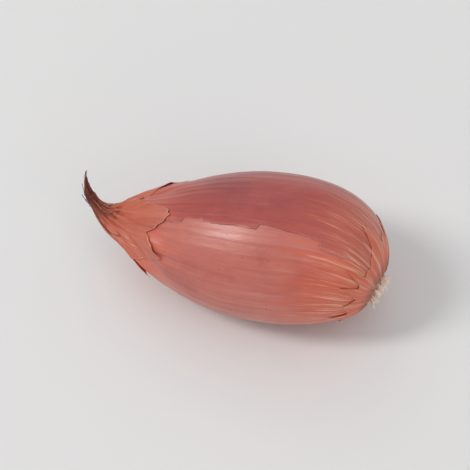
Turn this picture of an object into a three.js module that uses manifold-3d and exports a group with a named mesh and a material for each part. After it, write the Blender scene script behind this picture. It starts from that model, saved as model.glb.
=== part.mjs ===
// A pink shallot as it comes out of the bag: one long bulb in its dry papery skin, lying on its belly.
// It grew as one piece, so it is one solid: the fat bulb, the corky root plate with its trimmed dry roots at
// one end, and the withered neck with its curled tail at the other.
//
// Millimetres, +Z up. The long axis runs along X, with the root end at +X and the neck at -X. The origin is
// under the middle of the bounding box, on the surface that the bulb rests on.
import * as THREE from "three";
import { mergeVertices } from "three/addons/utils/BufferGeometryUtils.js";
import Module from "manifold-3d";

// Driving dimensions. "Along" is the distance from the root plate towards the neck.
const BULB_LENGTH = 69; // root plate to the end of the tail, measured along the curl
const BELLY_RADIUS = 16; // half the width at the fattest place
const BELLY_ALONG = 22.5;
const BELLY_HEIGHT_SHARE = 0.95; // the bulb is a little lower than it is wide
const PLATE_RADIUS = 2.7; // the corky disc that the roots grew from
const PLATE_FLARE = 0.3; // how much wider the disc is where it meets the skin
const PLATE_STEP = 0.9; // how far the disc stands out of the skin round it
const NECK_ALONG = 55.5; // where the bulb has narrowed to its neck
const NECK_RADIUS = 4.2;
const TAIL_ALONG = 63.5; // where the neck has withered to its tail
const TAIL_RADIUS = 1.1;
const TAIL_END_RADIUS = 0.8;

// How far each curve of the outline runs on in its own direction before it turns.
const SHOULDER_RUN = 7.6; // outwards, from the edge of the root plate
const BELLY_RUN_TO_ROOT = 12.5;
const BELLY_RUN_TO_NECK = 15;
const NECK_RUN_TO_BELLY = 8;
const NECK_RUN_TO_TAIL = 2.6;
const TAIL_RUN_TO_NECK = 3.2;
const SHOULDER_SLOPE = 0.04; // distance along that the shoulder gains for each millimetre outwards
const NECK_SLOPE = 0.66; // radius that the neck loses for each millimetre along

// A shallot grows pressed against its twin, so it bows out on one side and its root plate sits off centre.
const BOW = 4.1; // how far the middle of the bulb lies off the line from root plate to neck
const BOW_PEAK = 0.185; // where it bows most, as a share of the length
const BOW_ANGLE = THREE.MathUtils.degToRad(55); // which way, from +Y towards +Z
const PLATE_TILT = 0.3; // slope of the root end, which faces down and towards the hollow side
const PLATE_TILT_FADE = 11; // the distance over which that slope dies away

// The dry neck curls up and to the back.
const CURL_START = 56;
const CURL_RADIUS = 9;
const CURL_ANGLE = THREE.MathUtils.degToRad(62); // which way, from +Y towards +Z

// Three faint flats run along the bulb, where its neighbours pressed on it.
const FLATS = 3;
const FLAT_DEPTH = 0.014; // as a share of the radius
const FLAT_ANGLE = 0.9;

// The skin gathers into folds as the bulb narrows to its neck.
const FOLDS = 7;
const FOLD_DEPTH = 0.1; // as a share of the radius
const FOLDS_START = 40; // where the folds begin
const FOLD_TWIST = 0.05; // how far they wind round the bulb, in radians for each millimetre

const REST_DEPTH = 0.5; // the bulb rests on a small flat spot, this deep into its round belly

// Trimmed dry roots on the plate.
const ROOT_COUNT = 15;
const ROOT_RADIUS = 0.4;
const ROOT_TIP_SHARE = 0.6; // radius of a root's cut end, as a share of its foot
const ROOT_LENGTH = 1.7;
const ROOT_LENGTH_VARIES = 0.3; // as a share of the length
const ROOT_SIDES = 6;
const ROOT_SPREAD = 0.62; // how far the outermost roots lean outwards, in radians
const ROOT_SINK = 0.8; // how deep each root starts inside the plate

const PROFILE_STEPS = 11; // points on each curve of the outline
const AROUND = 84; // faces round the bulb
const MERGE_DISTANCE = 1e-4; // vertices closer than this are one vertex

const SKIN_COLOUR = 0xbd7363;
const SKIN_ROUGHNESS = 0.45;

const wasm = await Module();
wasm.setup();

// A closed geometry as a manifold-3d solid, and back.
function toSolid(geometry) {
  const bare = geometry.clone().deleteAttribute("normal").deleteAttribute("uv");
  const merged = mergeVertices(bare, MERGE_DISTANCE);
  return new wasm.Manifold(
    new wasm.Mesh({
      numProp: 3,
      vertProperties: new Float32Array(merged.attributes.position.array),
      triVerts: new Uint32Array(merged.index.array),
    }),
  );
}

function toGeometry(solid) {
  const mesh = solid.getMesh();
  const geometry = new THREE.BufferGeometry();
  geometry.setAttribute("position", new THREE.BufferAttribute(mesh.vertProperties, 3));
  geometry.setIndex(new THREE.BufferAttribute(mesh.triVerts, 1));
  geometry.computeVertexNormals();
  return geometry;
}

// The bulb's outline from the middle of the root plate to the middle of the tail's end: x is the radius and
// y the distance along.
function outline() {
  const rim = PLATE_RADIUS + PLATE_FLARE;
  const path = new THREE.Path();
  path.moveTo(0, 0);
  path.lineTo(PLATE_RADIUS, 0);
  path.lineTo(rim, PLATE_STEP);
  path.bezierCurveTo(
    rim + SHOULDER_RUN,
    PLATE_STEP + SHOULDER_RUN * SHOULDER_SLOPE,
    BELLY_RADIUS,
    BELLY_ALONG - BELLY_RUN_TO_ROOT,
    BELLY_RADIUS,
    BELLY_ALONG,
  );
  path.bezierCurveTo(
    BELLY_RADIUS,
    BELLY_ALONG + BELLY_RUN_TO_NECK,
    NECK_RADIUS + NECK_RUN_TO_BELLY * NECK_SLOPE,
    NECK_ALONG - NECK_RUN_TO_BELLY,
    NECK_RADIUS,
    NECK_ALONG,
  );
  path.bezierCurveTo(
    NECK_RADIUS - NECK_RUN_TO_TAIL * NECK_SLOPE,
    NECK_ALONG + NECK_RUN_TO_TAIL,
    TAIL_RADIUS,
    TAIL_ALONG - TAIL_RUN_TO_NECK,
    TAIL_RADIUS,
    TAIL_ALONG,
  );
  path.lineTo(TAIL_END_RADIUS, BULB_LENGTH);
  path.lineTo(0, BULB_LENGTH);
  return path.getPoints(PROFILE_STEPS);
}

// How far the middle of the bulb bows out at a distance along it.
function bowAt(along) {
  const reach = along / (BOW_PEAK * BULB_LENGTH);
  return BOW * reach * Math.exp(1 - reach);
}

// The radius of the real bulb at an angle round it and a distance along it, as a share of the round bulb's.
function unevenness(angle, along) {
  const flats = FLAT_DEPTH * Math.cos(FLATS * (angle - FLAT_ANGLE));
  const gathered = THREE.MathUtils.smoothstep(along, FOLDS_START, NECK_ALONG);
  const folds = FOLD_DEPTH * gathered * Math.cos(FOLDS * (angle + FOLD_TWIST * along));
  return 1 - flats - folds;
}

// The part of an offset from the bulb's middle that points at an angle from +Y towards +Z.
function towards(angle, sideways, upwards) {
  return sideways * Math.cos(angle) + upwards * Math.sin(angle);
}

// Moves a vertex of the straight, round bulb to its place on the real one.
function shape(vertex) {
  const along = vertex.y;
  const share = unevenness(Math.atan2(vertex.z, vertex.x), along);
  const sideways = vertex.x * share;
  const upwards = vertex.z * share * BELLY_HEIGHT_SHARE;
  const bow = bowAt(along);
  const fade = Math.exp(-along / PLATE_TILT_FADE);
  const tilt = PLATE_TILT * fade * towards(BOW_ANGLE, sideways, upwards);

  // Past the start of the curl the bulb's middle runs round an arc, and each ring turns with it.
  const turn = Math.max(0, along - CURL_START) / CURL_RADIUS;
  const reach = Math.min(along, CURL_START) + CURL_RADIUS * Math.sin(turn);
  const inner = towards(CURL_ANGLE, sideways, upwards);
  const lift = (CURL_RADIUS - inner) * (1 - Math.cos(turn));

  vertex.set(
    tilt + inner * Math.sin(turn) - reach,
    sideways + bow * Math.cos(BOW_ANGLE) + lift * Math.cos(CURL_ANGLE),
    upwards + bow * Math.sin(BOW_ANGLE) + lift * Math.sin(CURL_ANGLE),
  );
  return vertex;
}

function bulbSolid() {
  const geometry = new THREE.LatheGeometry(outline(), AROUND);
  const places = geometry.attributes.position;
  const vertex = new THREE.Vector3();
  for (let i = 0; i < places.count; i++) {
    shape(vertex.fromBufferAttribute(places, i));
    places.setXYZ(i, vertex.x, vertex.y, vertex.z);
  }
  return toSolid(geometry);
}

// One trimmed root: a thin cone frustum that leans outwards from the plate, at a place on it given by its
// angle and its distance from the middle.
function rootSolid(angle, distance, length) {
  const whole = length + ROOT_SINK;
  const geometry = new THREE.CylinderGeometry(ROOT_TIP_SHARE * ROOT_RADIUS, ROOT_RADIUS, whole, ROOT_SIDES);
  geometry.translate(0, whole / 2 - ROOT_SINK, 0);
  geometry.rotateZ(-Math.PI / 2); // it now points along +X, out of the plate
  const lean = (ROOT_SPREAD * distance) / PLATE_RADIUS;
  geometry.rotateY(lean);
  geometry.translate(0, 0, -distance);
  geometry.rotateX(angle);
  return toSolid(geometry);
}

// The roots fill the plate in a sunflower pattern.
function rootSolids() {
  const golden = Math.PI * (3 - Math.sqrt(5));
  const reach = PLATE_RADIUS - ROOT_RADIUS;
  const roots = [];
  for (let i = 0; i < ROOT_COUNT; i++) {
    const angle = i * golden;
    const length = ROOT_LENGTH * (1 + ROOT_LENGTH_VARIES * Math.cos(i * i));
    roots.push(rootSolid(angle, reach * Math.sqrt((i + 0.5) / ROOT_COUNT), length));
  }
  return roots;
}

// Everything below the surface that the bulb rests on is taken off, which leaves the flat spot.
function restOnSurface(solid) {
  const lowest = solid.boundingBox().min[2];
  const raised = solid.translate([0, 0, -lowest - REST_DEPTH]);
  const block = new THREE.BoxGeometry(4 * BULB_LENGTH, 4 * BULB_LENGTH, BELLY_RADIUS);
  block.translate(0, 0, -BELLY_RADIUS / 2);
  return raised.subtract(toSolid(block));
}

function centred(solid) {
  const { min, max } = solid.boundingBox();
  return solid.translate([-(min[0] + max[0]) / 2, -(min[1] + max[1]) / 2, 0]);
}

let whole = bulbSolid();
for (const root of rootSolids()) {
  whole = whole.add(root);
}

const skin = new THREE.MeshStandardMaterial({
  color: SKIN_COLOUR,
  roughness: SKIN_ROUGHNESS,
  metalness: 0,
});
const bulb = new THREE.Mesh(toGeometry(centred(restOnSurface(whole))), skin);
bulb.name = "shallot_bulb";

const shallot = new THREE.Group();
shallot.add(bulb);

export default shallot;
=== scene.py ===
# %% [markdown]
# # A pink shallot in its dry skin
#
# A shallot is a stack of fleshy scales wrapped in paper. What the eye meets is the paper: a satin skin only a
# tenth of a millimetre thick, drawn over a long bulb, gathered into folds at the neck and puckered round the
# corky plate that the roots grew from. This lesson grows one in Blender, skin by skin.
#
# The measured solid comes first. It gives the shallot its size and place, and every visible piece is laid on
# the same outline, so that nothing has to be fitted by eye.

# %% Load the measured solid
import math

import bmesh
import bpy
import numpy as np
from mathutils import Matrix, Vector, noise
from mathutils.geometry import interpolate_bezier


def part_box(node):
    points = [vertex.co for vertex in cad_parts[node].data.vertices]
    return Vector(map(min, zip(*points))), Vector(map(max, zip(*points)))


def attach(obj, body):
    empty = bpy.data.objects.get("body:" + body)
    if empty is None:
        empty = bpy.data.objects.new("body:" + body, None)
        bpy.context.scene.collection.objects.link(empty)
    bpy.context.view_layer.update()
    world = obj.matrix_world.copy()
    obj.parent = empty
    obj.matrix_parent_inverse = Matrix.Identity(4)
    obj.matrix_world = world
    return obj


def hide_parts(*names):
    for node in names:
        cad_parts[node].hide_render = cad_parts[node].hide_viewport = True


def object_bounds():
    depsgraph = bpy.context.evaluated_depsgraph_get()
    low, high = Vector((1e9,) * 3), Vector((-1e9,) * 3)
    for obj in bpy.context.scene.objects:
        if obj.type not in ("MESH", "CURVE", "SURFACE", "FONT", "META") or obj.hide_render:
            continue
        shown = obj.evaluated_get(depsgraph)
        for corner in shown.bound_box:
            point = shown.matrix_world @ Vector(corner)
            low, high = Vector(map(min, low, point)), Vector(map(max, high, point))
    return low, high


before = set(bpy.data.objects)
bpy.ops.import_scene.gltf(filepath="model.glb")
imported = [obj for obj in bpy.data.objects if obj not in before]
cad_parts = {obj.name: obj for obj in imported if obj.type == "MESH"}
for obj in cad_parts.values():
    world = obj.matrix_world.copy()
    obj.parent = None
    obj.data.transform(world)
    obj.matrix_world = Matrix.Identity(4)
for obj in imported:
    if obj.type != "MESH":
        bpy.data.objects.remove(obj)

MM = 0.001
cad_low, cad_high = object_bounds()
solid_low, solid_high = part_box("shallot_bulb")
print("the solid measures", [round(v / MM, 1) for v in solid_high - solid_low], "mm")

# %% [markdown]
# ## The outline of the bulb
#
# A bulb is nearly a turned shape, so its form is one curve: out from the root plate, over a square shoulder
# to the belly, down a long slope to the neck, and on into the tail. Each stretch is a Bezier curve with two
# handles. A hand-drawn list of points would do it too, but it would show every wobble of the hand once light
# runs along it. Lengths here are in millimetres, as a gardener would measure, and become metres at the end.

# %% Draw the outline
BULB_LENGTH = 69.0  # root plate to the end of the tail, measured along the curl
BELLY_RADIUS = 16.0
BELLY_ALONG = 22.5  # the fattest place, as a distance from the root plate
BELLY_HEIGHT_SHARE = 0.95
PLATE_RIM = 3.0  # the radius at which the skin meets the root plate
PLATE_STEP = 0.9
SHOULDER_RUN = 7.6  # each RUN is the length of a curve's handle
SHOULDER_SLOPE = 0.04
BELLY_RUN_TO_ROOT = 12.5
BELLY_RUN_TO_NECK = 15
NECK_ALONG = 55.5
NECK_RADIUS = 4.2
NECK_SLOPE = 0.66
NECK_RUN_TO_BELLY = 8
NECK_RUN_TO_TAIL = 2.6
TAIL_ALONG = 63.5
TAIL_RADIUS = 1.1
TAIL_RUN_TO_NECK = 3.2
TAIL_RUN_TO_END = 2
TAIL_END_RADIUS = 0.8
CURVE_STEPS = 60


def bezier(start, start_handle, end_handle, end):
    """Points on a curve in the plane of radius and distance along the bulb."""
    corners = [Vector((*point, 0)) for point in (start, start_handle, end_handle, end)]
    return [(p.x, p.y) for p in interpolate_bezier(*corners, CURVE_STEPS)]


shoulder = bezier(
    (PLATE_RIM, PLATE_STEP),
    (PLATE_RIM + SHOULDER_RUN, PLATE_STEP + SHOULDER_RUN * SHOULDER_SLOPE),
    (BELLY_RADIUS, BELLY_ALONG - BELLY_RUN_TO_ROOT),
    (BELLY_RADIUS, BELLY_ALONG),
)
slope = bezier(
    (BELLY_RADIUS, BELLY_ALONG),
    (BELLY_RADIUS, BELLY_ALONG + BELLY_RUN_TO_NECK),
    (NECK_RADIUS + NECK_RUN_TO_BELLY * NECK_SLOPE, NECK_ALONG - NECK_RUN_TO_BELLY),
    (NECK_RADIUS, NECK_ALONG),
)
withered = bezier(
    (NECK_RADIUS, NECK_ALONG),
    (NECK_RADIUS - NECK_RUN_TO_TAIL * NECK_SLOPE, NECK_ALONG + NECK_RUN_TO_TAIL),
    (TAIL_RADIUS, TAIL_ALONG - TAIL_RUN_TO_NECK),
    (TAIL_RADIUS, TAIL_ALONG),
)
tail = bezier(
    (TAIL_RADIUS, TAIL_ALONG),
    (TAIL_RADIUS, TAIL_ALONG + TAIL_RUN_TO_END),
    (TAIL_END_RADIUS, BULB_LENGTH - TAIL_RUN_TO_END),
    (TAIL_END_RADIUS, BULB_LENGTH),
)
outline = np.array([(0, PLATE_STEP)] + shoulder + slope[1:] + withered[1:] + tail[1:] + [(0, BULB_LENGTH)])
steps = np.linalg.norm(np.diff(outline, axis=0), axis=1)
travelled = np.concatenate([[0], np.cumsum(steps)])
travelled /= travelled[-1]
print("the outline has", len(outline), "points")

# %% [markdown]
# A skin needs to know which way is out, so that folds and torn layers can stand off it. The outline's own
# tangent gives that at every place, even on the flat shoulder by the root, where "away from the axis" would
# be the wrong way.

# %% Find the outward direction all along the outline
tangent = np.gradient(outline, axis=0)
outward = np.stack([tangent[:, 1], -tangent[:, 0]], axis=1)
outward /= np.linalg.norm(outward, axis=1)[:, None]


def share_of(along):
    """The share of the outline's length at which it is this far along the bulb."""
    return float(np.interp(along, outline[1:, 1], travelled[1:]))


def outline_at(share, lift):
    """Radius and distance along at a share of the outline, raised from it by a lift."""
    radius = np.interp(share, travelled, outline[:, 0]) + lift * np.interp(share, travelled, outward[:, 0])
    along = np.interp(share, travelled, outline[:, 1]) + lift * np.interp(share, travelled, outward[:, 1])
    return float(radius), float(along)


print("the belly is at share", round(share_of(BELLY_ALONG), 3))
print("the neck is at share", round(share_of(NECK_ALONG), 3))

# %% [markdown]
# ## From a turned shape to a grown one
#
# Shallots grow in a clump and press on each other. So the bulb bows to one side, its root plate faces askew,
# and faint flats run along it. The neck dries last and curls up. Each of these is one smooth rule that moves
# a point of the turned shape to its place on the grown one. A sculpting brush could do the same, but rules
# keep the bulb on the measured solid. Angles go round the bulb from the back, over the top, to the front.

# %% Bow, tilt, flatten and curl
BOW = 4.1
BOW_PEAK = 0.185
BOW_ANGLE = math.radians(55)
PLATE_TILT = 0.3
PLATE_TILT_FADE = 11
CURL_START = 56
CURL_RADIUS = 9
CURL_ANGLE = math.radians(62)
FLATS = 3
FLAT_DEPTH = 0.014
FLAT_ANGLE = 0.9
FOLDS = 7
FOLD_DEPTH = 0.1
FOLDS_START = 40
FOLD_TWIST = 0.05


def smooth(value, start, end):
    """A soft ramp from 0 at the start to 1 at the end."""
    t = min(max((value - start) / (end - start), 0), 1)
    return t * t * (3 - 2 * t)


def grown(angle, radius, along):
    """The place on the grown bulb of a point on the turned one, in millimetres."""
    flats = FLAT_DEPTH * math.cos(FLATS * (angle - FLAT_ANGLE))
    gathered = smooth(along, FOLDS_START, NECK_ALONG)
    folds = FOLD_DEPTH * gathered * math.cos(FOLDS * (angle + FOLD_TWIST * along))
    uneven = radius * (1 - flats - folds)
    sideways = uneven * math.cos(angle)
    upwards = uneven * math.sin(angle) * BELLY_HEIGHT_SHARE
    reach = along / (BOW_PEAK * BULB_LENGTH)
    bow = BOW * reach * math.exp(1 - reach)
    fade = math.exp(-along / PLATE_TILT_FADE)
    tilt = PLATE_TILT * fade * (sideways * math.cos(BOW_ANGLE) + upwards * math.sin(BOW_ANGLE))
    turn = max(0, along - CURL_START) / CURL_RADIUS
    inner = sideways * math.cos(CURL_ANGLE) + upwards * math.sin(CURL_ANGLE)
    lift = (CURL_RADIUS - inner) * (1 - math.cos(turn))
    return Vector(
        (
            tilt + inner * math.sin(turn) - min(along, CURL_START) - CURL_RADIUS * math.sin(turn),
            sideways + bow * math.cos(BOW_ANGLE) + lift * math.cos(CURL_ANGLE),
            upwards + bow * math.sin(BOW_ANGLE) + lift * math.sin(CURL_ANGLE),
        )
    )


print("the bulb bows by up to", BOW, "mm and curls up from", CURL_START, "mm on")

# %% [markdown]
# The grown shape still sits in its own frame. Its lowest corner is matched to the solid's, and the bulb sinks
# by the depth of the flat spot that it rests on.

# %% Move the grown shape into the shared frame
REST_DEPTH = 0.5
samples = [
    grown(angle, *outline_at(share, 0))
    for share in np.linspace(0, 1, 240)
    for angle in np.linspace(0, 2 * math.pi, 84, endpoint=False)
]
lowest = Vector([min(p[i] for p in samples) for i in range(3)])
to_frame = Vector((solid_low.x / MM - lowest.x, solid_low.y / MM - lowest.y, -lowest.z - REST_DEPTH))
print("the grown shape moves by", [round(v, 2) for v in to_frame], "mm")

# %% [markdown]
# ## Veins, wrinkles and puckers
#
# The skin was a leaf base once, and a leaf base has parallel veins. On the dry skin they are fine ridges that
# run from root to neck. Between them the paper has shrunk in long wrinkles, and round the root plate it is
# drawn together in puckers. All of this could be painted as bump, but a side light would betray a smooth
# outline. So the larger relief is real: it moves the mesh by a few hundredths of a millimetre up to a third.

# %% Shape the relief of the skin
VEINS = 38
VEIN_HEIGHT = 0.07
VEIN_SHARPNESS = 7
SWELL = 0.26
SWELL_LOST = 0.6  # the share of the swell that the folds take up
WRINKLE = 0.085
PUCKERS = 23
PUCKER_HEIGHT = 0.2
PUCKER_FADE = 4.2
NECK_FOLDS = 17
NECK_FOLD_HEIGHT = 0.3
TAIL_FOLDS_LOST = 0.7
SWELL_GROWS = (0.5, 10)  # each pair is where a change starts and where it is full, along the bulb
VEINS_GROW = (0.5, 6)
NECK_GATHERS = (42, 56)
TAIL_SMOOTHS = (58, 64)
VEIN_WANDER = 0.055  # each WANDER is how far a line strays round the bulb, as an angle
VEIN_FINE_WANDER = 0.02
PUCKER_WANDER = 0.12
FOLD_WANDER = 0.1


def around(angle, size, along):
    """A place in noise that closes on itself round the bulb."""
    return Vector((size * math.cos(angle), size * math.sin(angle), along))


def vein_at(angle, along):
    """How strongly a vein shows here, from 0 to 1."""
    wander = VEIN_WANDER * noise.noise(around(angle, 1.6, along / 20))
    wander += VEIN_FINE_WANDER * noise.noise(around(angle, 5, along / 9))
    crest = 0.5 + 0.5 * math.cos(VEINS * (angle + wander))
    strength = 0.62 + 0.5 * noise.noise(around(angle, 9, along / 30 + 7))
    return crest**VEIN_SHARPNESS * min(max(strength, 0), 1)


def relief(angle, along):
    """How far the skin stands out here, in millimetres."""
    swell = SWELL * noise.noise(around(angle, 1.25, along / 17)) * smooth(along, *SWELL_GROWS)
    wrinkle = WRINKLE * noise.noise(around(angle, 11, along / 13 + 3))
    veins = VEIN_HEIGHT * vein_at(angle, along) * smooth(along, *VEINS_GROW)
    pucker_wander = PUCKER_WANDER * noise.noise(around(angle, 3, along / 4))
    puckers = PUCKER_HEIGHT * math.exp(-along / PUCKER_FADE) * math.cos(PUCKERS * (angle + pucker_wander))
    gathered = smooth(along, *NECK_GATHERS) * (1 - TAIL_FOLDS_LOST * smooth(along, *TAIL_SMOOTHS))
    fold_wander = FOLD_WANDER * noise.noise(around(angle, 2, along / 8 + 11))
    folds = NECK_FOLD_HEIGHT * gathered * math.cos(NECK_FOLDS * (angle + FOLD_TWIST * along + fold_wander))
    return swell * (1 - SWELL_LOST * gathered) + wrinkle + veins + puckers + folds


print("veins are", round(2 * math.pi * BELLY_RADIUS / VEINS, 1), "mm apart at the belly")

# %% [markdown]
# One function then says where any point of any skin is. It fades the relief out at the two poles, because all
# the points of a ring have to meet there, and it keeps everything on or above the surface that the bulb rests
# on, which makes the same small flat spot as on the solid. The tail has dried thinner than the sturdy solid
# shows, and ends in a twisted point instead of a cut, so it shrinks in those two steps.

# %% Find a place on the skin
ROOT_POLE_CALM = 0.03  # the share of the outline over which the relief fades in at the root
TAIL_POLE_CALM = 0.985
TAIL_SHRINK = 0.28
TAIL_DRIES = (58.5, 64)
TIP_SHRINK = 0.65
TIP_DRIES = (64.5, 69)
PRESSED = 0.5  # the share of its lift that a sheet keeps where the bulb rests on it


def shrunk(radius, along):
    """A radius with the shrinking of the tail and of its tip taken off."""
    left = (1 - TAIL_SHRINK * smooth(along, *TAIL_DRIES)) * (1 - TIP_SHRINK * smooth(along, *TIP_DRIES))
    return max(radius * left, 0)


def on_skin(angle, share, lift=0.0):
    """A place on the finished skin, in metres in the shared frame, raised by a lift in millimetres."""
    _, along = outline_at(share, 0)
    calm = smooth(share, 0, ROOT_POLE_CALM) * smooth(share, 1, TAIL_POLE_CALM)
    radius, raised_along = outline_at(share, lift + calm * relief(angle, along))
    place = grown(angle, shrunk(radius, along), raised_along) + to_frame
    place.z = max(place.z, lift * PRESSED)
    return place * MM


print("the top of the belly is at", round(on_skin(math.pi / 2, share_of(BELLY_ALONG)).z / MM, 1), "mm")

# %% [markdown]
# ## A kit for painting with nodes
#
# Image textures would tie the skin to one picture, and nodes can be made by hand in the editor, but a recipe
# in code can be read and changed. This small kit names the few moves that the recipes need: read an
# attribute, stretch a pattern, make noise, turn a value into a soft band, mix two tones, and add fine relief.

# %% Small helpers for node trees
def srgb(red, green, blue):
    """A colour in everyday 0 to 255 steps, as Blender's linear light."""
    channels = [value / 255 for value in (red, green, blue)]
    linear = [c / 12.92 if c <= 0.04045 else ((c + 0.055) / 1.055) ** 2.4 for c in channels]
    return (*linear, 1)


class Painter:
    """Builds one material's nodes from left to right."""

    def __init__(self, name):
        self.material = bpy.data.materials.new(name)
        self.material.use_nodes = True
        self.tree = self.material.node_tree
        self.shader = self.tree.nodes["Principled BSDF"]

    def node(self, kind, **settings):
        made = self.tree.nodes.new(kind)
        for key, value in settings.items():
            setattr(made, key, value)
        return made

    def put(self, socket, value):
        """Links a socket into another, or sets a plain value on it."""
        if isinstance(value, bpy.types.NodeSocket):
            self.tree.links.new(value, socket)
        else:
            socket.default_value = value

    def attribute(self, name, output="Fac"):
        return self.node("ShaderNodeAttribute", attribute_name=name).outputs[output]

    def stretched(self, vector, scale, shift=(0, 0, 0)):
        mapping = self.node("ShaderNodeMapping")
        self.put(mapping.inputs["Vector"], vector)
        mapping.inputs["Scale"].default_value = scale
        mapping.inputs["Location"].default_value = shift
        return mapping.outputs["Vector"]

    def in_millimetres(self):
        """The piece's own coordinates, with one unit to the millimetre."""
        place = self.node("ShaderNodeTexCoord").outputs["Object"]
        return self.stretched(place, (1 / MM, 1 / MM, 1 / MM))

    def noise(self, vector, scale, detail=3.0, roughness=0.5, distortion=0.0):
        made = self.node("ShaderNodeTexNoise")
        self.put(made.inputs["Vector"], vector)
        made.inputs["Scale"].default_value = scale
        made.inputs["Detail"].default_value = detail
        made.inputs["Roughness"].default_value = roughness
        made.inputs["Distortion"].default_value = distortion
        return made.outputs["Fac"]

    def math(self, operation, first, second=0.5):
        made = self.node("ShaderNodeMath", operation=operation)
        self.put(made.inputs[0], first)
        self.put(made.inputs[1], second)
        return made.outputs[0]

    def band(self, value, start, end, low=0.0, high=1.0):
        """A soft ramp of a value between two limits."""
        made = self.node("ShaderNodeMapRange", interpolation_type="SMOOTHSTEP")
        for socket, number in zip(made.inputs, (value, start, end, low, high)):
            self.put(socket, number)
        return made.outputs["Result"]

    def mix(self, amount, below, above):
        made = self.node("ShaderNodeMix", data_type="RGBA")
        self.put(made.inputs[0], amount)
        self.put(made.inputs[6], below)
        self.put(made.inputs[7], above)
        return made.outputs[2]

    def bump(self, height, depth, strength=1.0, below=None):
        """Fine relief: height 1 stands this many metres above height 0."""
        made = self.node("ShaderNodeBump")
        made.inputs["Distance"].default_value = depth
        made.inputs["Strength"].default_value = strength
        self.put(made.inputs["Height"], height)
        if below is not None:
            self.put(made.inputs["Normal"], below)
        return made.outputs["Normal"]


# %% [markdown]
# ## The colours of dry onion skin
#
# The colour of onion skin is not paint. Pigment sits in the cells, and the cells lie in rows between the
# veins, so every tone is drawn out lengthwise. The recipe works in that order: a blotchy ground, then pale
# and deep streaks, then fine fibres, then the veins. Every pattern is read from the skin map, in which a
# millimetre is a millimetre on the belly, and is squeezed along the bulb to make a streak out of a spot.

# %% Mottle and streak the ground
COPPER = srgb(194, 106, 92)
ROSE = srgb(178, 86, 76)
BLUSH = srgb(212, 140, 124)
VEIN = srgb(150, 64, 52)
ORANGE = srgb(221, 94, 56)
STRAW = srgb(236, 186, 150)
BROWN = srgb(102, 44, 30)
# painted shade: a dark brown for the crease where the skin meets the root plate
CREASE_SHADE = srgb(136, 66, 40)
SPOT = srgb(100, 46, 38)

BLOTCH_SCALE = 0.07  # each SCALE is a number of spots to the millimetre
STREAK_SCALE = 0.6
STREAK_SQUEEZE = (1, 1, 0.09)
FIBRE_SCALE = 2.4
FIBRE_SQUEEZE = (1, 1, 0.045)
VEIN_TINT = 0.32


def mottled(paint, place, ground, deep, pale):
    """The ground: large soft blotches of a deeper and a paler tone."""
    blotches = paint.noise(place, BLOTCH_SCALE, 4, 0.55, 0.4)
    tone = paint.mix(paint.band(blotches, 0.34, 0.54), deep, ground)
    return paint.mix(paint.band(blotches, 0.54, 0.74, 0, 0.5), tone, pale)


def streaked(paint, tone, broad, deep, pale, strength):
    """Broad streaks, pale where the pattern is high and deep where it is low."""
    tone = paint.mix(paint.band(broad, 0.52, 0.76, 0, strength), tone, pale)
    return paint.mix(paint.band(broad, 0.48, 0.26, 0, strength), tone, deep)


def fibrous(paint, tone, fibres, vein, pale):
    """Fine fibres, and the veins that the mesh also carries as ridges."""
    tone = paint.mix(paint.band(fibres, 0.55, 0.78, 0, 0.4), tone, vein)
    tone = paint.mix(paint.band(fibres, 0.44, 0.24, 0, 0.45), tone, pale)
    return paint.mix(paint.math("MULTIPLY", paint.attribute("vein"), VEIN_TINT), tone, vein)


print("the palette has nine tones")

# %% [markdown]
# Skin dries from its two ends. It turns orange there, bleaches to straw in threads, and goes brown where it
# withers. A straight border between those tones would look sprayed on. So the distance along the bulb is
# first made ragged with the broad streaks, which lets each tone run further along some fibres than others.
# Right at the root plate a dark ring is painted shade, for the crease where the skin meets the plate.

# %% Dry the ends, paint shade into the root plate's crease and bleach the torn rim
RAGGEDNESS = 26.0  # millimetres
NECK_DRIES = (39, 54)  # each pair is where a tone starts and where it is full, as a distance from the root
ROOT_DRIES = (22, 6)
ROOT_THREADS = (16, 3)
NECK_THREADS = (46, 56)
WITHERS = (57, 63)
# painted shade: where the crease round the root plate starts to darken and where it is darkest
CREASE_SHADE_GROWS = (2.2, 1.0)


def dried_and_crease_shaded(paint, tone, broad, fibres, pale, dry):
    """The dry tones towards the neck and the root, and painted shade in the crease round the root plate."""
    along = paint.attribute("along")
    wander = paint.math("MULTIPLY", paint.math("SUBTRACT", broad, 0.5), RAGGEDNESS)
    ragged = paint.math("ADD", along, wander)
    tone = paint.mix(paint.band(ragged, *NECK_DRIES, 0, 0.8), tone, dry)
    tone = paint.mix(paint.band(ragged, *ROOT_DRIES, 0, 0.65), tone, dry)
    threads = paint.band(fibres, 0.5, 0.36)
    by_the_root = paint.math("MULTIPLY", paint.band(ragged, *ROOT_THREADS, 0, 0.85), threads)
    by_the_neck = paint.math("MULTIPLY", paint.band(ragged, *NECK_THREADS, 0, 0.7), threads)
    tone = paint.mix(by_the_root, tone, STRAW)
    tone = paint.mix(by_the_neck, tone, pale)
    tone = paint.mix(paint.band(along, *WITHERS, 0, 0.85), tone, BROWN)
    # painted shade: the skin darkens in the crease right round the root plate
    return paint.mix(paint.band(along, *CREASE_SHADE_GROWS, 0, 0.6), tone, CREASE_SHADE)


def bleached(paint, place, tone, rim):
    """The paler rim of torn paper, in patches, since no tear bleaches evenly."""
    patches = paint.band(paint.noise(place, 0.5, 3), 0.4, 0.62, 0, 0.55)
    near_the_rim = paint.band(paint.attribute("edge"), 0.4, 1.0)
    return paint.mix(paint.math("MULTIPLY", near_the_rim, patches), tone, rim)


print("the neck end dries from", NECK_DRIES[0], "mm and the root end from", ROOT_DRIES[0], "mm")

# %% [markdown]
# The bulb's skin and the torn older skins over it are the same stuff at different ages, so one recipe makes
# them all. The older a skin is, the stronger its streaks and the duller its gloss. The sheen needs two
# layers: a satin one that follows the fibres, and a thin clear coat for the waxy shine on top.

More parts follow.
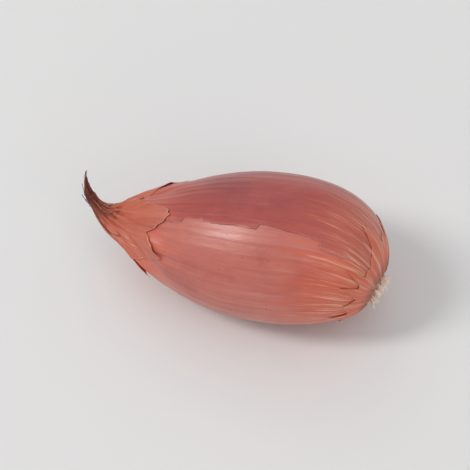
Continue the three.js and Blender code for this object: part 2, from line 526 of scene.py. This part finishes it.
# %% Mix a skin
SPECK_SCALE = 1.35
CRINKLE_SCALE = 1.5
CRINKLE_SQUEEZE = (1, 1, 0.35)
CRINKLE_SHARE = 1.6  # crinkles are this many times as deep as fibres
WAX = 0.46  # the weight of the clear coat
WAX_ROUGHNESS = 0.29


def skin_material(name, ground, deep, pale, vein, dry, rim, roughness, streaks, fine_depth):
    """Dry bulb skin, with the strength of its streaks and the depth of its fibres in metres."""
    paint = Painter(name)
    place = paint.attribute("skin_map", "Vector")
    broad = paint.noise(paint.stretched(place, STREAK_SQUEEZE, (5, 3, 0)), STREAK_SCALE, 5, 0.62, 0.25)
    fibres = paint.noise(paint.stretched(place, FIBRE_SQUEEZE), FIBRE_SCALE, 5, 0.68)

    tone = mottled(paint, place, ground, deep, pale)
    tone = streaked(paint, tone, broad, deep, pale, streaks)
    tone = fibrous(paint, tone, fibres, vein, pale)
    tone = dried_and_crease_shaded(paint, tone, broad, fibres, pale, dry)
    tone = bleached(paint, place, tone, rim)
    specks = paint.noise(place, SPECK_SCALE, 2, 0.5)
    tone = paint.mix(paint.band(specks, 0.70, 0.76, 0, 0.5), tone, SPOT)
    paint.put(paint.shader.inputs["Base Color"], tone)

    dullness = paint.band(fibres, 0.3, 0.7, roughness - 0.06, roughness + 0.1)
    paint.put(paint.shader.inputs["Roughness"], dullness)
    paint.shader.inputs["Coat Weight"].default_value = WAX
    paint.shader.inputs["Coat Roughness"].default_value = WAX_ROUGHNESS

    crinkle = paint.noise(paint.stretched(place, CRINKLE_SQUEEZE), CRINKLE_SCALE, 4, 0.55, 0.6)
    fibre_relief = paint.bump(fibres, fine_depth)
    both = paint.bump(crinkle, fine_depth * CRINKLE_SHARE, 0.8, fibre_relief)
    paint.put(paint.shader.inputs["Normal"], both)
    return paint.material


fresh_skin = skin_material(
    "fresh_skin",
    ground=COPPER,
    deep=ROSE,
    pale=BLUSH,
    vein=VEIN,
    dry=ORANGE,
    rim=STRAW,
    roughness=0.36,
    streaks=0.5,
    fine_depth=0.00006,
)
print("mixed", fresh_skin.name, "with", len(fresh_skin.node_tree.nodes), "nodes")

# %% [markdown]
# ## From a bmesh to a piece
#
# Every skin is made the same way. It starts as a flat grid or a plain tube, and then each of its points is
# moved to a place on the bulb. While a point moves, it notes where it is: its skin map, how far along it is,
# the vein under it and how near a torn rim. The materials read those notes, so that no seam or unwrapping is
# needed and the streaks always run with the veins.

# %% Helpers that turn a bmesh into a piece
WELD = 1e-6  # metres: points closer than this become one


def spun(points, turns):
    """A line of points, spun once round the upright axis."""
    bm = bmesh.new()
    line = [bm.verts.new(point) for point in points]
    edges = [bm.edges.new(pair) for pair in zip(line, line[1:])]
    bmesh.ops.spin(
        bm, geom=line + edges, cent=(0, 0, 0), axis=(0, 0, 1), angle=2 * math.pi, steps=turns, use_merge=True
    )
    return bm


def on_the_bulb(bm, place_of, edge_of=None):
    """Moves each point to its place on the bulb. place_of turns a point into its angle, share and lift."""
    map_layer = bm.verts.layers.float_vector.new("skin_map")
    along_layer = bm.verts.layers.float.new("along")
    vein_layer = bm.verts.layers.float.new("vein")
    edge_layer = bm.verts.layers.float.new("edge")
    for vertex in bm.verts:
        angle, share, lift = place_of(vertex.co)
        _, along = outline_at(share, 0)
        vertex[map_layer] = around(angle, BELLY_RADIUS, along)
        vertex[along_layer] = along
        vertex[vein_layer] = vein_at(angle, along)
        vertex[edge_layer] = edge_of(vertex.co) if edge_of else 0.0
        vertex.co = on_skin(angle, share, lift)


def smooth_object(name, bm, material):
    """Writes a bmesh into an object."""
    mesh = bpy.data.meshes.new(name)
    bm.to_mesh(mesh)
    bm.free()
    mesh.shade_smooth()
    mesh.materials.append(material)
    made = bpy.data.objects.new(name, mesh)
    bpy.context.scene.collection.objects.link(made)
    return made


def finished_piece(name, bm, material):
    """Writes a bmesh into an object that rides on the shallot."""
    piece = smooth_object(name, bm, material)
    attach(piece, "root")
    print(name, "has", len(piece.data.vertices), "points and", len(piece.data.polygons), "faces")
    return piece


print("points closer than", round(WELD / MM, 4), "mm are welded")

# %% [markdown]
# ## The skin that wraps the bulb
#
# A sphere could be squashed into a bulb, but then its lines would have to be turned to follow the veins, and
# its rings would lie where the bulb doesn't need them. A straight line of points is spun into a tube instead,
# and its height is the share of the outline, so a ring knows where it belongs. The two end rings shrink to a
# point and are merged, which closes the poles.

# %% Spin the skin of the bulb
SKIN_RINGS = 262
SKIN_TURNS = 300


def spun_tube(rings, turns):
    """A tube of radius 1 whose height runs from 0 to 1: the start of every skin that goes right round."""
    return spun([(1, 0, height) for height in np.linspace(0, 1, rings)], turns)


def angle_of(co):
    return math.atan2(co.y, co.x)


bm = spun_tube(SKIN_RINGS, SKIN_TURNS)
on_the_bulb(bm, lambda co: (angle_of(co), co.z, 0.0))
bmesh.ops.remove_doubles(bm, verts=bm.verts, dist=WELD)
bmesh.ops.recalc_face_normals(bm, faces=bm.faces)
bulb = finished_piece("bulb_skin", bm, fresh_skin)
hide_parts("shallot_bulb")

# %% [markdown]
# ## Paper over paper
#
# The outermost skin of a shallot never survives whole. It leaves a sheet on the back, a ragged collar round
# the neck and a short one round the root. They could be painted on the bulb, but a torn edge catches the
# light, and that thin bright line is what makes the eye see paper. So each one is a real sheet, laid a little
# above the skin and given the thickness of paper. The new wall goes on the inside, which keeps the outer face
# where it was laid.

# %% Give paper its thickness
PAPER = 0.09  # millimetres
LAID = 0.12  # how far the outer face of a sheet lies above the skin


def thicken(bm):
    """Turns a sheet on the bulb into a closed shell, with the new wall on the inside."""
    bmesh.ops.recalc_face_normals(bm, faces=bm.faces)
    bm.faces.ensure_lookup_table()
    face = bm.faces[len(bm.faces) // 2]
    along = face.verts[0][bm.verts.layers.float["along"]]
    bulb_middle = (grown(0, 0, along) + to_frame) * MM
    if face.normal.dot(face.calc_center_median() - bulb_middle) < 0:
        bmesh.ops.reverse_faces(bm, faces=bm.faces)
    bmesh.ops.solidify(bm, geom=bm.faces[:], thickness=PAPER * MM)
    bm.normal_update()


def rim_of(steps_away):
    """1 on the torn rim, falling to 0 three steps of the mesh away from it."""
    return 1 - min(1, steps_away / 3)


print("paper is", PAPER, "mm thick and lies", round(LAID - PAPER, 2), "mm clear of the skin")

# %% [markdown]
# ## The old skin on the back
#
# Along the bulb, paper tears between two veins for a while and then jumps across to the next weak line. That
# leaves two long, nearly straight edges with a few slanting jumps. Noise alone would give a wavy coastline,
# which no onion has, so the jumps are drawn by chance first and noise only frays them. The tear moves the
# outermost columns of a grid and leaves the inner ones on their veins.

# %% Lay the old skin over the back
SHEET_ACROSS = 130
SHEET_ALONG = 230
SHEET_FRONT = math.radians(112)
SHEET_BACK = math.radians(10)
SHEET_START = share_of(3.0)
SHEET_END = share_of(55.0)
JUMP_SLANT = 0.1  # how much of the sheet's length a jump takes, for each radian it goes
JUMP_LEAST = 0.004
HEM = 4  # how sharply a tear stays near the edge
LEAST_CURL = 0.02
RIM_CURL = 0.6
CURL_WIDTH = 2.2  # millimetres of rim that can curl up
FRAY = 0.012
FINE_FRAY = 0.007
FRONT_TEAR = {"seed": 1.7, "drift": 0.16}
BACK_TEAR = {"seed": 8.2, "drift": 0.3}


def tears(count, depth, seed):
    """A tear follows the veins, then jumps across them: where each jump is, and how far it goes."""
    chance = np.random.default_rng(seed)
    places = np.sort(chance.uniform(0, 1, count))
    depths = chance.uniform(-depth, depth, count)
    return list(zip(places, np.diff(depths, prepend=0)))


def torn_at(jumps, v, seed, drift):
    """How far the torn edge has moved at a share v of the sheet's length, as an angle."""
    moved = drift * noise.noise(Vector((v * 1.9, seed, 0)))
    for place, jump in jumps:
        moved += jump * smooth(v, place, place + JUMP_LEAST + JUMP_SLANT * abs(jump))
    frayed = FRAY * noise.noise(Vector((v * 26, seed + 6, 0)))
    finely_frayed = FINE_FRAY * noise.noise(Vector((v * 80, seed, 0)))
    return moved + (frayed + finely_frayed)


front_tears = tears(count=11, depth=0.055, seed=21)
back_tears = tears(count=12, depth=0.12, seed=34)


def sheet_place(co):
    u, v = co.x + 0.5, co.y + 0.5
    width = SHEET_FRONT - SHEET_BACK
    front = torn_at(front_tears, v, **FRONT_TEAR)
    back = torn_at(back_tears, v, **BACK_TEAR)
    angle = SHEET_BACK + u * width + front * u**HEM + back * (1 - u) ** HEM
    loose = max(0, noise.noise(Vector((v * 8, 4 + 6 * round(u), 0))))
    curl = (LEAST_CURL + RIM_CURL * loose) * smooth(min(u, 1 - u) * width * BELLY_RADIUS, CURL_WIDTH, 0)
    return angle, SHEET_START + v * (SHEET_END - SHEET_START), LAID + curl


# These grounds are the old skin's own deeper rose and also painted shade: they darken the upper back, where
# the sheet lies.
SHADED_CRIMSON = srgb(170, 67, 61)
SHADED_WINE = srgb(150, 49, 47)
DUSTY_ROSE = srgb(190, 95, 86)
FADED_CORAL = srgb(206, 104, 82)
shaded_old_paper = skin_material(
    "shaded_old_paper",
    ground=SHADED_CRIMSON,
    deep=SHADED_WINE,
    pale=DUSTY_ROSE,
    vein=VEIN,
    dry=FADED_CORAL,
    rim=BLUSH,
    roughness=0.40,
    streaks=0.55,
    fine_depth=0.00008,
)
bm = bmesh.new()
bmesh.ops.create_grid(bm, x_segments=SHEET_ACROSS, y_segments=SHEET_ALONG, size=0.5)
on_the_bulb(bm, sheet_place, lambda co: rim_of(min(co.x + 0.5, 0.5 - co.x) * SHEET_ACROSS))
thicken(bm)
# the sheet on the upper back carries painted shade in its darker grounds
finished_piece("shaded_old_skin", bm, shaded_old_paper)

# %% [markdown]
# ## The collar round the neck
#
# Across the veins paper tears in tongues: long slivers with steep sides, each leaning its own way. A list of
# random tongues is laid round the neck, and the collar reaches as far as the longest tongue at each place. It
# starts as a spun tube, its lower ring is moved out to the torn edge, and the last stretch curls up a little.

# %% Wrap the neck
COLLAR_TURNS = 300
NECK_RINGS = 90
NECK_EDGE = 51.5
NECK_TOP = share_of(65.0)
NECK_LAID = LAID + 0.11
NECK_NIBBLE = 0.5  # how far small bites go into the torn edge
NECK_SLANT = 3.2  # how strongly the collar comes further down on one side
NECK_CURL_SHARE = 0.2  # the share of the collar's length that curls
NECK_CURL = 0.3


def shards(count, widths, lengths, seed):
    """Random tongues of paper: where each one is, how wide and long it is, and which way it leans."""
    chance = np.random.default_rng(seed)
    return [
        (chance.uniform(0, 1), chance.uniform(*widths), chance.uniform(*lengths), chance.uniform(0.15, 0.85))
        for _ in range(count)
    ]


def reach_of(tongues, angle):
    """How far the longest tongue reaches at an angle round the bulb, in millimetres."""
    reach = 0.0
    for place, width, length, lean in tongues:
        offset = (angle / (2 * math.pi) - place + 0.5) % 1 - 0.5
        offset = offset / width + lean
        if 0 < offset < 1:
            rise = offset / lean if offset < lean else (1 - offset) / (1 - lean)
            reach = max(reach, length * rise**1.3)
    return reach


neck_tongues = shards(count=15, widths=(0.05, 0.2), lengths=(0.5, 8.5), seed=3)


def neck_place(co):
    angle = angle_of(co)
    reach = reach_of(neck_tongues, angle)
    nibbles = NECK_NIBBLE * noise.noise(around(angle, 9, 2))
    bites = nibbles + NECK_SLANT * noise.noise(around(angle, 1.0, 3))
    edge = share_of(NECK_EDGE + bites - reach)
    curl = 0.06 + 0.04 * reach + NECK_CURL * max(0, noise.noise(around(angle, 3.5, 20)))
    return angle, edge + co.z * (NECK_TOP - edge), NECK_LAID + curl * smooth(co.z, NECK_CURL_SHARE, 0)


FOXY = srgb(190, 96, 80)
DARK_FOXY = srgb(158, 68, 58)
PALE_FOXY = srgb(214, 140, 118)
AMBER = srgb(200, 96, 62)
neck_paper = skin_material(
    "neck_paper",
    ground=FOXY,
    deep=DARK_FOXY,
    pale=PALE_FOXY,
    vein=BROWN,
    dry=AMBER,
    rim=STRAW,
    roughness=0.44,
    streaks=0.85,
    fine_depth=0.0001,
)
bm = spun_tube(NECK_RINGS, COLLAR_TURNS)
on_the_bulb(bm, neck_place, lambda co: rim_of(co.z * NECK_RINGS))
thicken(bm)
finished_piece("neck_collar", bm, neck_paper)

# %% [markdown]
# ## The collar round the root
#
# Round the root the old skin is stuck down by the puckers, so little of it stands up. The collar is made like
# the neck's, from shorter tongues that lie flatter.

# %% Wrap the root end
ROOT_RINGS = 70
ROOT_EDGE = 3.2
ROOT_LEAST_EDGE = 2.2
ROOT_START = share_of(1.0)
ROOT_LAID = LAID + 0.1
ROOT_NIBBLE = 0.4
ROOT_SLANT = 0.9
ROOT_CURL_SHARE = 0.25
ROOT_CURL = 0.2
root_tongues = shards(count=24, widths=(0.025, 0.085), lengths=(0.4, 4.6), seed=12)


def root_place(co):
    angle = angle_of(co)
    reach = reach_of(root_tongues, angle)
    nibbles = ROOT_NIBBLE * noise.noise(around(angle, 10, 31))
    bites = nibbles + ROOT_SLANT * noise.noise(around(angle, 1.3, 33))
    edge = share_of(max(ROOT_LEAST_EDGE, ROOT_EDGE + bites + reach))
    curl = 0.03 + 0.03 * reach + ROOT_CURL * max(0, noise.noise(around(angle, 4, 40)))
    return angle, edge + co.z * (ROOT_START - edge), ROOT_LAID + curl * smooth(co.z, ROOT_CURL_SHARE, 0)


TERRACOTTA = srgb(203, 98, 68)
DARK_TERRACOTTA = srgb(182, 82, 62)
PALE_TERRACOTTA = srgb(222, 154, 122)
root_paper = skin_material(
    "root_paper",
    ground=TERRACOTTA,
    deep=DARK_TERRACOTTA,
    pale=PALE_TERRACOTTA,
    vein=VEIN,
    dry=ORANGE,
    rim=STRAW,
    roughness=0.42,
    streaks=0.8,
    fine_depth=0.0001,
)
bm = spun_tube(ROOT_RINGS, COLLAR_TURNS)
on_the_bulb(bm, root_place, lambda co: rim_of(co.z * ROOT_RINGS))
thicken(bm)
finished_piece("root_collar", bm, root_paper)

# %% [markdown]
# ## Growing a stalk
#
# The tail is a wisp of dry strings, and the roots are short stubs. Both are thin, nearly round and bent, and
# there are many of them. Curves with a bevel would be smooth but heavy. Instead each stalk is grown: a
# six-sided face is extruded step by step along a path, turned to face the way it is going, and scaled. That
# costs a root a few dozen faces. Each point keeps how far up its stalk it is, and the stalk's own tint.

# %% Extrude a stalk along a path
STALK_SIDES = 6


def stalk_mesh():
    bm = bmesh.new()
    bm.verts.layers.float.new("climb")
    bm.verts.layers.float.new("tint")
    return bm


def note(bm, vertices, climb, tint):
    for vertex in vertices:
        vertex[bm.verts.layers.float["climb"]] = climb
        vertex[bm.verts.layers.float["tint"]] = tint


def grow_stalk(bm, path, radii, tint):
    """Extrudes a small face along a path, with a radius for each of its points."""
    heading = (path[1] - path[0]).normalized()
    foot = bmesh.ops.create_circle(bm, cap_ends=True, segments=STALK_SIDES, radius=radii[0])["verts"]
    bmesh.ops.rotate(bm, verts=foot, cent=(0, 0, 0), matrix=heading.to_track_quat("Z", "Y").to_matrix())
    bmesh.ops.translate(bm, verts=foot, vec=path[0])
    note(bm, foot, 0.0, tint)
    cap = foot[0].link_faces[0]
    last = len(path) - 1
    for step in range(1, last + 1):
        cap = bmesh.ops.extrude_discrete_faces(bm, faces=[cap])["faces"][0]
        ahead = (path[min(step + 1, last)] - path[step - 1]).normalized()
        turn = heading.rotation_difference(ahead).to_matrix()
        heading = ahead
        bmesh.ops.rotate(bm, verts=cap.verts, cent=path[step - 1], matrix=turn)
        bmesh.ops.translate(bm, verts=cap.verts, vec=path[step] - path[step - 1])
        growth = (radii[step] / radii[step - 1],) * 3
        bmesh.ops.scale(bm, verts=cap.verts, vec=growth, space=Matrix.Translation(-path[step]))
        note(bm, cap.verts, step / last, tint)


def close_stalks(bm):
    """Closes the open foot of each stalk and faces everything outwards."""
    bmesh.ops.holes_fill(bm, edges=[edge for edge in bm.edges if edge.is_boundary], sides=STALK_SIDES)
    bmesh.ops.recalc_face_normals(bm, faces=bm.faces)


print("a stalk has", STALK_SIDES, "sides")

# %% [markdown]
# Dried stalks are dull and never one colour. Each has its own stain from the tint that it keeps, it changes
# from foot to tip, and a crumbly grain lightens it in places and roughens it.

# %% Mix a stalk's finish
GRAIN_SCALE = 2.4
GRAIN_DEPTH = 0.0001  # metres, as every DEPTH of a material's relief


def stalk_material(name, foot, tip, stain, bright, roughness):
    paint = Painter(name)
    grain = paint.noise(paint.in_millimetres(), GRAIN_SCALE, 4, 0.65)
    tone = paint.mix(paint.band(paint.attribute("climb"), 0.05, 0.7), foot, tip)
    tone = paint.mix(paint.band(paint.attribute("tint"), 0.4, 1.0, 0, 0.7), tone, stain)
    tone = paint.mix(paint.band(grain, 0.5, 0.72, 0, 0.5), tone, bright)
    paint.put(paint.shader.inputs["Base Color"], tone)
    paint.put(paint.shader.inputs["Roughness"], paint.band(grain, 0.3, 0.7, roughness - 0.1, roughness + 0.1))
    paint.put(paint.shader.inputs["Normal"], paint.bump(grain, GRAIN_DEPTH))
    return paint.material


string_brown = stalk_material(
    "string_brown",
    foot=srgb(172, 88, 60),
    tip=srgb(94, 38, 26),
    stain=srgb(126, 56, 38),
    bright=srgb(172, 104, 74),
    roughness=0.62,
)
root_cream = stalk_material(
    "root_cream",
    foot=srgb(208, 150, 124),
    tip=srgb(255, 236, 222),
    stain=srgb(240, 200, 178),
    bright=srgb(255, 248, 240),
    roughness=0.7,
)
print("mixed", string_brown.name, "and", root_cream.name)

# %% [markdown]
# ## The dry tail
#
# Above the neck the leaves have withered into strings, twisted round each other. Each starts high on the
# neck, sinks against the tail as it winds up it, and lets go near its end. A few run just past the end of the
# tail, so that it finishes in a frayed tip.

# %% Twist the strings of the tail
STRINGS = 30
STRINGS_START = (54, 60)
STRINGS_END = (63.5, 70.8)
STRING_THICKNESS = (0.1, 0.22)
STRING_TIP = 0.35  # the share of its thickness that a string keeps at its tip
STAND_OFF_NECK = 0.45
STAND_OFF_TAIL = 0.12
STAND_OFF_FALLS = (58, 63)
FOOT_SINK = 0.5  # how far a string's foot sinks into the neck
FOOT_SINKS = (0.15, 0)  # where along a string that starts and where it is full, as a share
FRAYS = (0.7, 1)  # where along a string it starts to let go
SWAY = 0.3
STRING_SHARES = np.linspace(0, 1, 34)
rng = np.random.default_rng(11)


def beside(angle, along, stand_off):
    """A place beside the smooth bulb, in metres, which may lie past the end of the tail."""
    radius = float(np.interp(along, outline[1:-1, 1], outline[1:-1, 0]))
    return (grown(angle, max(shrunk(radius, along) + stand_off, 0), along) + to_frame) * MM


def string_path(angle, start, end, twist, fray, seed):
    path = []
    for v in STRING_SHARES:
        along = start + v * (end - start)
        sway = SWAY * noise.noise(Vector((v * 4, seed, 0)))
        clear = STAND_OFF_NECK + (STAND_OFF_TAIL - STAND_OFF_NECK) * smooth(along, *STAND_OFF_FALLS)
        stand_off = clear - FOOT_SINK * smooth(v, *FOOT_SINKS) + fray * smooth(v, *FRAYS)
        path.append(beside(angle + twist * v * v + sway, along, stand_off))
    return path


def string_radii(thickness):
    """Fullest below the middle, thinner at the foot and thinnest at the tip."""
    swelling = [math.sin(math.pi * min(1, v + 0.08) ** 0.8) for v in STRING_SHARES]
    return [thickness * (STRING_TIP + (1 - STRING_TIP) * share) for share in swelling]


bm = stalk_mesh()
for number in range(STRINGS):
    angle = 2 * math.pi * number / STRINGS + rng.uniform(-0.2, 0.2)
    start, end = rng.uniform(*STRINGS_START), rng.uniform(*STRINGS_END)
    past_the_tip = end > BULB_LENGTH - 1
    fray = rng.uniform(-0.3, 0.15) if past_the_tip else rng.uniform(0, 1.1) ** 2
    path = string_path(angle, start, end, rng.uniform(0.4, 2.6), fray, rng.uniform(0, 50))
    thickness = rng.uniform(*STRING_THICKNESS) * MM
    grow_stalk(bm, path, string_radii(thickness), rng.uniform(0, 1))
close_stalks(bm)
finished_piece("tail_strings", bm, string_brown)

# %% [markdown]
# ## The root plate
#
# The roots spring from a corky disc at the very end of the bulb. It is a low dome with a crumbly surface,
# spun like the skin and roughened with noise. It starts under the skin, so that no gap shows round it.

# %% Spin the root plate
PLATE_RINGS = 26
PLATE_TURNS = 72
PLATE_FLANGE = 0.25  # how far the plate reaches under the skin
PLATE_UNDER = 0.7
PLATE_DOME = 1.75
PLATE_WALL = 0.55  # a power under 1 makes the dome's wall steeper
PLATE_CROWN = 0.8  # and its crown flatter
PLATE_CRUMB = 0.22
CRUMB_SPREAD = 0.08  # the share by which a crumb of one millimetre also widens the dome
CRUMB_SCALE = 1.6
CRUMB_DEPTH = 0.00025
CORK_PIT = srgb(140, 92, 66)
CORK_TOP = srgb(224, 182, 148)


def on_plate(angle, radius, height):
    """A place on or above the root plate, in metres in the shared frame. Height is in millimetres."""
    return (grown(angle, radius, PLATE_STEP - height) + to_frame) * MM


def plate_place(co):
    turn = min(co.z, 1) * math.pi / 2
    radius = (PLATE_RIM + PLATE_FLANGE) * max(math.cos(turn), 0) ** PLATE_WALL
    height = PLATE_DOME * math.sin(turn) ** PLATE_CROWN - PLATE_UNDER
    crumb = PLATE_CRUMB * noise.noise(around(angle_of(co), 2.2 * radius, height * 1.5))
    crumb *= smooth(co.z, 1.0, 0.8)  # calm in the middle, where the rings meet in a point
    return on_plate(angle_of(co), radius * (1 + CRUMB_SPREAD * crumb), height + crumb)


def corky_material():
    paint = Painter("cork")
    crumbs = paint.noise(paint.in_millimetres(), CRUMB_SCALE, 5, 0.7)
    tone = paint.mix(paint.band(crumbs, 0.35, 0.65), CORK_PIT, CORK_TOP)
    paint.put(paint.shader.inputs["Base Color"], tone)
    paint.shader.inputs["Roughness"].default_value = 0.85
    paint.put(paint.shader.inputs["Normal"], paint.bump(crumbs, CRUMB_DEPTH))
    return paint.material


bm = spun_tube(PLATE_RINGS, PLATE_TURNS)
for vertex in bm.verts:
    vertex.co = plate_place(vertex.co)
bmesh.ops.remove_doubles(bm, verts=bm.verts, dist=WELD)
bmesh.ops.holes_fill(bm, edges=[edge for edge in bm.edges if edge.is_boundary], sides=PLATE_TURNS)
bmesh.ops.recalc_face_normals(bm, faces=bm.faces)
finished_piece("root_plate", bm, corky_material())

# %% [markdown]
# ## The trimmed roots
#
# At harvest the roots are cut back, and what stays is a brush of short pale stubs. They are set out like the
# seeds of a sunflower, each turned on from the last by the golden angle, which fills a disc evenly without
# rows. The outer ones lean outwards, and one in ten is a thin stray that escaped the knife.

# %% Grow the trimmed roots
ROOTS = 120
ROOT_STEPS = 6
ROOT_SINK = 0.3  # how deep a root starts inside the plate
ROOT_SPREAD = 0.26
ROOT_TAPER = 0.78
TUFT_RADIUS = 2.7
STRAY_SHARE = 0.1
GOLDEN_ANGLE = math.pi * (3 - math.sqrt(5))
STUB = {"lengths": (1.6, 2.15), "thicknesses": (0.23, 0.38), "bend": 0.12}
STRAY = {"lengths": (2.3, 3.0), "thicknesses": (0.1, 0.15), "bend": 0.4}
rng = np.random.default_rng(5)


def root_path(foot_angle, outwards, length, bend):
    """A path from inside the plate: straight out in the middle of the tuft, leaning out at its edge."""
    radius = TUFT_RADIUS * outwards
    foot = on_plate(foot_angle, radius, -ROOT_SINK)
    ahead = (on_plate(foot_angle, radius, 1) - foot).normalized()
    sideways = (on_plate(foot_angle, radius + 0.5, -ROOT_SINK) - foot).normalized()
    heading = (ahead + sideways * math.tan(ROOT_SPREAD * outwards)).normalized()
    path = [foot]
    for _ in range(ROOT_STEPS):
        path.append(path[-1] + heading * ((length + ROOT_SINK) * MM / ROOT_STEPS))
        heading = (heading + bend * 0.3).normalized()
    return path


bm = stalk_mesh()
for number in range(ROOTS):
    foot_angle = number * GOLDEN_ANGLE + rng.uniform(-0.15, 0.15)
    kind = STRAY if rng.uniform() < STRAY_SHARE else STUB
    bend = Vector((rng.uniform(-0.3, 0.3), rng.uniform(-1, 1), rng.uniform(-1, 1))) * kind["bend"]
    path = root_path(foot_angle, math.sqrt((number + 0.5) / ROOTS), rng.uniform(*kind["lengths"]), bend)
    thickness = rng.uniform(*kind["thicknesses"]) * MM
    radii = np.linspace(thickness, ROOT_TAPER * thickness, ROOT_STEPS + 1)
    grow_stalk(bm, path, radii, rng.uniform(0, 1))
close_stalks(bm)
finished_piece("root_tuft", bm, root_cream)

# %% [markdown]
# ## A sweep of white paper
#
# Small things are shown on a sweep: a sheet of paper that lies flat under the object and curves up behind it,
# so that no horizon cuts the picture. A flat plane would end in a hard line from a low camera. Here the sweep
# goes all the way round, spun from one profile, and looks the same from every side.

# %% Spin the paper sweep
SWEEP_RADIUS = 2.6  # metres, like everything in the studio
SWEEP_BEND = 0.7
SWEEP_HEIGHT = 1.7
SWEEP_TURNS = 96

flat_part = [Vector((reach, 0, 0)) for reach in np.linspace(0, SWEEP_RADIUS - SWEEP_BEND, 4)]
bent_part = [
    Vector((SWEEP_RADIUS - SWEEP_BEND * (1 - math.sin(turn)), 0, SWEEP_BEND * (1 - math.cos(turn))))
    for turn in np.linspace(0, math.pi / 2, 13)[1:]
]
top = [Vector((SWEEP_RADIUS, 0, SWEEP_HEIGHT))]
bm = spun(flat_part + bent_part + top, SWEEP_TURNS)
bmesh.ops.remove_doubles(bm, verts=bm.verts, dist=WELD)
bmesh.ops.recalc_face_normals(bm, faces=bm.faces)

paint = Painter("floor_paper")
grain = paint.noise(paint.node("ShaderNodeTexCoord").outputs["Object"], 14, 4)
paint.put(paint.shader.inputs["Base Color"], paint.mix(grain, srgb(229, 229, 229), srgb(233, 232, 231)))
paint.shader.inputs["Roughness"].default_value = 0.8
floor = smooth_object("floor", bm, paint.material)
print("the sweep is", 2 * SWEEP_RADIUS, "m across")

# %% [markdown]
# ## Soft light
#
# A curved satin thing needs a large soft light, and one clear highlight to show its form. One tall softbox
# stands on the neck's side and gives the skin its long pale sheen. Three weaker ones keep the far sides
# readable, and a pale studio all round fills what is left. They stand far off, so the paper is lit evenly.

# %% Set up the lights
STUDIO_GLOW = 0.56
bpy.context.scene.view_settings.view_transform = "Standard"
world = bpy.data.worlds.new("studio")
bpy.context.scene.world = world
world.use_nodes = True
world.node_tree.nodes["Background"].inputs["Color"].default_value = (0.97, 0.98, 1.0, 1)
world.node_tree.nodes["Background"].inputs["Strength"].default_value = STUDIO_GLOW

middle = (cad_low + cad_high) / 2


def direction(azimuth, elevation):
    """A unit arrow from the object: azimuth 0 is the front and 90 the root end."""
    a, e = math.radians(azimuth), math.radians(elevation)
    return Vector((math.sin(a) * math.cos(e), -math.cos(a) * math.cos(e), math.sin(e)))


def softbox(name, azimuth, elevation, distance, width, height, watts, tint):
    """A soft oval light that faces the shallot."""
    lamp = bpy.data.lights.new(name, "AREA")
    lamp.shape = "ELLIPSE"
    lamp.size = width
    lamp.size_y = height
    lamp.energy = watts
    lamp.color = tint
    stand = bpy.data.objects.new(name, lamp)
    arrow = direction(azimuth, elevation)
    stand.location = middle + arrow * distance
    stand.rotation_euler = arrow.to_track_quat("Z", "Y").to_euler()
    bpy.context.scene.collection.objects.link(stand)


WARM = (1.0, 0.985, 0.965)
LESS_WARM = (1.0, 0.985, 0.97)
WHITE = (1.0, 1.0, 1.0)
COOL = (0.98, 0.985, 1.0)
softbox("key", azimuth=-60, elevation=48, distance=1.8, width=0.46, height=0.72, watts=12.2, tint=WARM)
softbox("top", azimuth=60, elevation=72, distance=2.0, width=1.2, height=1.2, watts=2.0, tint=WHITE)
softbox("fill", azimuth=50, elevation=30, distance=2.0, width=1.2, height=1.2, watts=3.8, tint=LESS_WARM)
softbox("back", azimuth=215, elevation=40, distance=2.0, width=1.2, height=1.2, watts=2.4, tint=COOL)
print("lit by", len(bpy.data.lights), "softboxes")

# %% [markdown]
# ## The camera
#
# The camera looks down at the bulb as a cook would, a little from the root's side. A long lens from far off
# keeps the two ends in proportion, where a short one would swell the near end. Its distance follows from the
# width that the shallot takes up in the frame.

# %% Place the camera
VIEW_AZIMUTH = 18
VIEW_ELEVATION = 55
LENS = 200
SENSOR = 36
FRAME_FILL = 0.70  # the share of the picture's width that the shallot takes up
camera = bpy.data.cameras.new("camera")
camera.lens = LENS
camera.sensor_width = SENSOR
eye = bpy.data.objects.new("camera", camera)
arrow = direction(VIEW_AZIMUTH, VIEW_ELEVATION)
view_width = (cad_high.x - cad_low.x) / FRAME_FILL
eye.location = middle + arrow * (view_width * LENS / SENSOR)
eye.rotation_euler = arrow.to_track_quat("Z", "Y").to_euler()
bpy.context.scene.collection.objects.link(eye)
bpy.context.scene.camera = eye
print("the camera stands", round((eye.location - middle).length, 2), "m away")

# %% [markdown]
# ## The size, checked
#
# Everything was laid on the solid's own outline, so the finished shallot should fill the same box.

# %% Print the solid's size
print("solid size", [round(v / MM, 2) for v in cad_high - cad_low], "mm")
